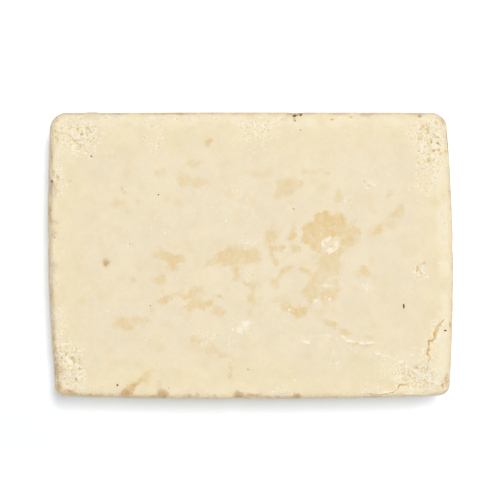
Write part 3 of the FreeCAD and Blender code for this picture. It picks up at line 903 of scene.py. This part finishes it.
def waxy(name, roughness, depth):
    """A material of wax that light enters to a depth in millimetres; the caller links the rest."""
    material = bpy.data.materials.new(name)
    material.use_nodes = True
    tree = material.node_tree
    shader = tree.nodes["Principled BSDF"]
    shader.inputs["Roughness"].default_value = roughness
    shader.inputs["IOR"].default_value = 1.46
    shader.inputs["Specular IOR Level"].default_value = 0.35
    shader.inputs["Subsurface Weight"].default_value = 0.2 if depth else 0.0
    shader.inputs["Subsurface Radius"].default_value = (1.0, 0.8, 0.55)
    shader.inputs["Subsurface Scale"].default_value = depth * MM
    return material, tree, shader


def raise_by(tree, shader, height):
    """A bump from a height in millimetres into the shader's normal."""
    made = add(tree, "ShaderNodeBump", None, Height=height, Distance=MM, Strength=1.0)
    tree.links.new(made.outputs["Normal"], shader.inputs["Normal"])


# %% The bar's material
CREAM = rgb(239, 225, 195)
WARM_CREAM = rgb(241, 226, 190)
# freshly broken soap, also painted light that lifts the shade of the broken relief
FRESH_BREAK_AND_LIGHT = rgb(254, 243, 212)
PATCH = rgb(229, 201, 144)
# pale soap, also the colour of the painted highlights: the band inside the rims, the ridges and curd tops
CURD_AND_HIGHLIGHT = rgb(254, 245, 225)
# golden and brown of the hollows: the soap's deeper colour and painted shade; also in the gaps between curds
RECESS_GOLD_AND_SHADE = rgb(230, 203, 140)
DEEP_BROWN_AND_SHADE = rgb(216, 174, 110)
# tan of handling on the rims, which also serves as painted shade there
RIM_TAN_AND_SHADE = rgb(209, 189, 167)
BROWN = rgb(184, 140, 77)


def soap():
    """Cream soap, with its patches, bloom, broken places, cracks and browned rims."""
    material, tree, shader = waxy("soap", 0.55, 0.7)
    place = add(tree, "ShaderNodeTexCoord").outputs["Object"]
    broken, on_wall = attribute(tree, "crumble"), attribute(tree, "wall")
    body = grain(tree, CREAM, WARM_CREAM, attribute(tree, "border"), broken)
    colour = body["Colour"]
    ragged, small = noise_at(tree, place, 1.8, 4, 0.65), noise_at(tree, place, 0.5, 3, 0.6)
    fray = times(tree, small, 1.0, times(tree, ragged, 1.6, -1.3))

    # oil, with soft ragged edges, and cloudy inside
    softness = step(tree, noise_at(tree, place, 7, 1), 0.40, 0.60, 0.80, 1.10)
    oil = frayed(tree, "patch", times(tree, fray, 1.4), 0.10, softness, 1.0)
    cloudy = step(tree, noise_at(tree, place, 1.1, 3, 0.6), 0.30, 0.70, 0.62, 1.20)
    oil = times(tree, times(tree, oil, cloudy), attribute(tree, "depth"))
    colour = mixed(tree, oil, colour, PATCH)

    # a faint golden mottle, and the painted highlight: a pale band just inside the rims
    mottle = step(tree, noise_at(tree, place, 3.6, 3, 0.6), 0.48, 0.76, 0.0, 0.30)
    colour = mixed(tree, mottle, colour, PATCH)
    colour = mixed(tree, frayed(tree, "pale", fray, 0.05, 1.1, 0.34), colour, CURD_AND_HIGHLIGHT)

    # fine strokes where the face was wiped
    strokes = add(tree, "ShaderNodeMapping", None, Vector=place, Rotation=(0, 0, math.radians(-62)))
    strokes = add(tree, "ShaderNodeVectorMath", {"operation": "MULTIPLY"}, _0=strokes.outputs[0], _1=(0.16, 1, 1))
    strokes = step(tree, noise_at(tree, strokes.outputs[0], 0.45, 2, 0.6), 0.52, 0.66)
    wiped = step(tree, noise_at(tree, place, 8, 2), 0.52, 0.66, 0.0, 0.14)
    colour = mixed(tree, times(tree, strokes, wiped), colour, CURD_AND_HIGHLIGHT)

    # broken soap: pale curds, partly painted highlight, with golden gaps and pinholes, partly painted shade
    aside = add(tree, "ShaderNodeVectorMath", {"operation": "ADD"}, _0=place, _1=(0.0073, 0.0011, 0.0029))
    curd = noise_at(tree, place, 0.62, 3, 0.65)
    gap = noise_at(tree, aside.outputs[0], 0.48, 3, 0.65)
    curds = step(tree, times(tree, broken, 0.22, curd), 0.67, 0.75, 0.0, 0.95)
    curds = times(tree, curds, times(tree, oil, -0.9, 1.0))
    gaps = step(tree, times(tree, broken, 0.20, gap), 0.68, 0.78, 0.0, 0.95)
    pinholes = dots(tree, 0.8, 0.0, 0.14, 0.36, times(tree, broken, 0.75, -0.12))
    gaps = add(tree, "ShaderNodeMath", {"operation": "MAXIMUM"}, _0=gaps, _1=pinholes).outputs[0]
    gaps = times(tree, gaps, step(tree, broken, 0.05, 0.3))
    # paler broken soap: its own colour and painted light over the shade of its relief
    colour = mixed(tree, step(tree, broken, 0.15, 0.9, 0.0, 0.42), colour, FRESH_BREAK_AND_LIGHT)
    colour = mixed(tree, curds, colour, CURD_AND_HIGHLIGHT)
    colour = mixed(tree, times(tree, gaps, 0.85), colour, RECESS_GOLD_AND_SHADE)
    colour = mixed(tree, frayed(tree, "bloom", fray, 0.12, 1.0, 0.82), colour, CURD_AND_HIGHLIGHT)
    # painted highlight along the ridges, and paler crack lips
    lip = times(tree, attribute(tree, "lip"), step(tree, curd, 0.35, 0.60, 0.45, 1.0))
    colour = mixed(tree, step(tree, lip, 0.15, 0.7, 0.0, 0.9), colour, CURD_AND_HIGHLIGHT)

    # pits and cracks: golden, and brown only at their deepest, partly the soap's own colour and partly painted
    # shade
    recess = attribute(tree, "recess")
    colour = mixed(tree, step(tree, recess, 0.12, 0.9, 0.0, 0.9), colour, RECESS_GOLD_AND_SHADE)
    colour = mixed(tree, step(tree, recess, 1.1, 1.7, 0.0, 0.8), colour, DEEP_BROWN_AND_SHADE)
    crack = frayed(tree, "crack", times(tree, fray, 0.8), 0.15, 0.75, 1.0)
    colour = mixed(tree, crack, colour, RECESS_GOLD_AND_SHADE)
    deepest = step(tree, noise_at(tree, place, 2.2, 2), 0.45, 0.62, 0.0, 0.8)
    colour = mixed(tree, times(tree, step(tree, crack, 0.7, 1.0), deepest), colour, DEEP_BROWN_AND_SHADE)

    # handled rims, darkened by tan and painted shade, and brown marks
    colour = mixed(tree, frayed(tree, "rim", times(tree, fray, 0.5), 0.05, 0.95, 0.85), colour, RIM_TAN_AND_SHADE)
    colour = mixed(tree, frayed(tree, "brown", times(tree, fray, 0.7), 0.05, 1.1, 0.72), colour, BROWN)

    # walls: drag marks of the wire that cut them, and a cloudy tan
    upright = add(tree, "ShaderNodeVectorMath", {"operation": "MULTIPLY"}, _0=place, _1=(1.0, 1.0, 0.10))
    drag = noise_at(tree, upright.outputs[0], 0.8, 4, 0.65)
    marks = times(tree, step(tree, drag, 0.35, 0.65, 0.955, 1.01), on_wall, times(tree, on_wall, -1.0, 1.0))
    colour = mixed(tree, 1.0, colour, grey(tree, marks), "MULTIPLY")
    aged = times(tree, step(tree, noise_at(tree, place, 7, 3, 0.6), 0.42, 0.72, 0.0, 0.55), on_wall)
    colour = mixed(tree, aged, colour, PATCH)
    tree.links.new(colour, shader.inputs["Base Color"])

    height = times(tree, gaps, -0.03, times(tree, curds, 0.02, body["Height"]))
    height = times(tree, times(tree, drag, on_wall), 0.12, height)
    raise_by(tree, shader, height)
    return material


def crumbs():
    """The pale colour of freshly broken soap."""
    material, tree, shader = waxy("broken_soap", 0.65, 0.0)
    body = grain(tree, rgb(251, 242, 220), rgb(247, 231, 197), 0.1, 1.0)
    tree.links.new(body["Colour"], shader.inputs["Base Color"])
    raise_by(tree, shader, body["Height"])
    return material


def dirt(name, light, dark):
    """A speck of dirt or rust, mottled between two browns."""
    material = bpy.data.materials.new(name)
    material.use_nodes = True
    tree = material.node_tree
    shader = tree.nodes["Principled BSDF"]
    place = add(tree, "ShaderNodeTexCoord").outputs["Object"]
    mottle = step(tree, noise_at(tree, place, 0.15, 2), 0.35, 0.65)
    tree.links.new(mixed(tree, mottle, dark, light), shader.inputs["Base Color"])
    shader.inputs["Roughness"].default_value = 0.8
    shader.inputs["Specular IOR Level"].default_value = 0.1
    return material


worn_bar.data.materials.append(soap())
grains.data.materials.append(crumbs())
dark_specks.data.materials.append(dirt("dark_dirt", rgb(150, 104, 56), rgb(104, 62, 28)))
rusty_specks.data.materials.append(dirt("rust", rgb(238, 201, 138), rgb(220, 172, 106)))
print("materials made")

# %% [markdown]
# ## Floor, light and camera
#
# The photograph was taken from straight above on a white ground, under a broad light that stands a
# little above and to the right of the bar. It leaves a short soft shadow below and to the left. A
# nearly overhead lamp casts that shadow, a lower lamp from the same side brightens the upper and right
# rims, and an even white world fills the rest. The floor looks white because it gives off a little light
# to the camera alone, and more of it further out, where the lamps don't reach.

# %% Floor
def seen_by_camera(tree, strength):
    """A strength for what the camera sees directly, in gloss or through glass, and nothing else."""
    path = add(tree, "ShaderNodeLightPath").outputs
    seen = plus(tree, path["Is Camera Ray"], path["Is Glossy Ray"])
    return times(tree, plus(tree, seen, path["Is Transmission Ray"]), strength)


floor_bm = bmesh.new()
bmesh.ops.create_grid(floor_bm, x_segments=1, y_segments=1, size=6000)
bmesh.ops.translate(floor_bm, vec=(0, 0, -0.05), verts=floor_bm.verts)
floor = piece(floor_bm, "floor")
floor_material = bpy.data.materials.new("white_ground")
floor_material.use_nodes = True
floor_tree = floor_material.node_tree
floor_shader = floor_tree.nodes["Principled BSDF"]
floor_shader.inputs["Base Color"].default_value = (0.93, 0.955, 1.0, 1)
floor_shader.inputs["Roughness"].default_value = 0.9
floor_shader.inputs["Specular IOR Level"].default_value = 0.0
floor_shader.inputs["Emission Color"].default_value = (0.93, 0.97, 1.0, 1)
from_bar = add(floor_tree, "ShaderNodeTexCoord").outputs["Object"]
from_bar = add(floor_tree, "ShaderNodeVectorMath", {"operation": "LENGTH"}, _0=from_bar).outputs["Value"]
white = seen_by_camera(floor_tree, step(floor_tree, from_bar, 0.15, 1.2, 0.21, 0.75))
floor_tree.links.new(white, floor_shader.inputs["Emission Strength"])
floor.data.materials.append(floor_material)

# %% Light
FILL = 0.40
world = bpy.data.worlds.new("white_room")
bpy.context.scene.world = world
world.use_nodes = True
sky = world.node_tree
sky.nodes["Background"].inputs["Color"].default_value = (1, 1, 1, 1)
strength = times(sky, seen_by_camera(sky, 1 - FILL), 1.0, FILL)
sky.links.new(strength, sky.nodes["Background"].inputs["Strength"])


def lamp(name, place, size, irradiance):
    """A flat lamp aimed at the bar that lights what faces it by a share of full daylight white."""
    data = bpy.data.lights.new(name, "AREA")
    data.shape = "RECTANGLE"
    data.size, data.size_y = size
    x, y, z = place
    distance = Vector(place).length
    data.energy = irradiance * math.pi * math.pi * distance ** 2
    obj = bpy.data.objects.new(name, data)
    obj.location = place
    obj.rotation_euler = (-math.asin(y / distance), math.atan2(x, z), 0)
    bpy.context.scene.collection.objects.link(obj)


lamp("overhead_lamp", (0.101, 0.162, 1.5), (0.11, 0.22), 0.46)
lamp("window_side_lamp", (1.0, 0.95, 1.0), (0.8, 0.8), 0.20)

# %% Camera
HEIGHT = 0.600
SEEN = 0.11085
camera = bpy.data.cameras.new("overhead_camera")
camera.sensor_width = 36
camera.lens = 36 * HEIGHT / SEEN
camera_object = bpy.data.objects.new("overhead_camera", camera)
camera_object.location = (-0.0001, 0.00126, THICKNESS * MM + HEIGHT)
bpy.context.scene.collection.objects.link(camera_object)
bpy.context.scene.camera = camera_object
bpy.context.scene.view_settings.view_transform = "Standard"
print(f"the camera sees {SEEN / MM:.1f} mm across")
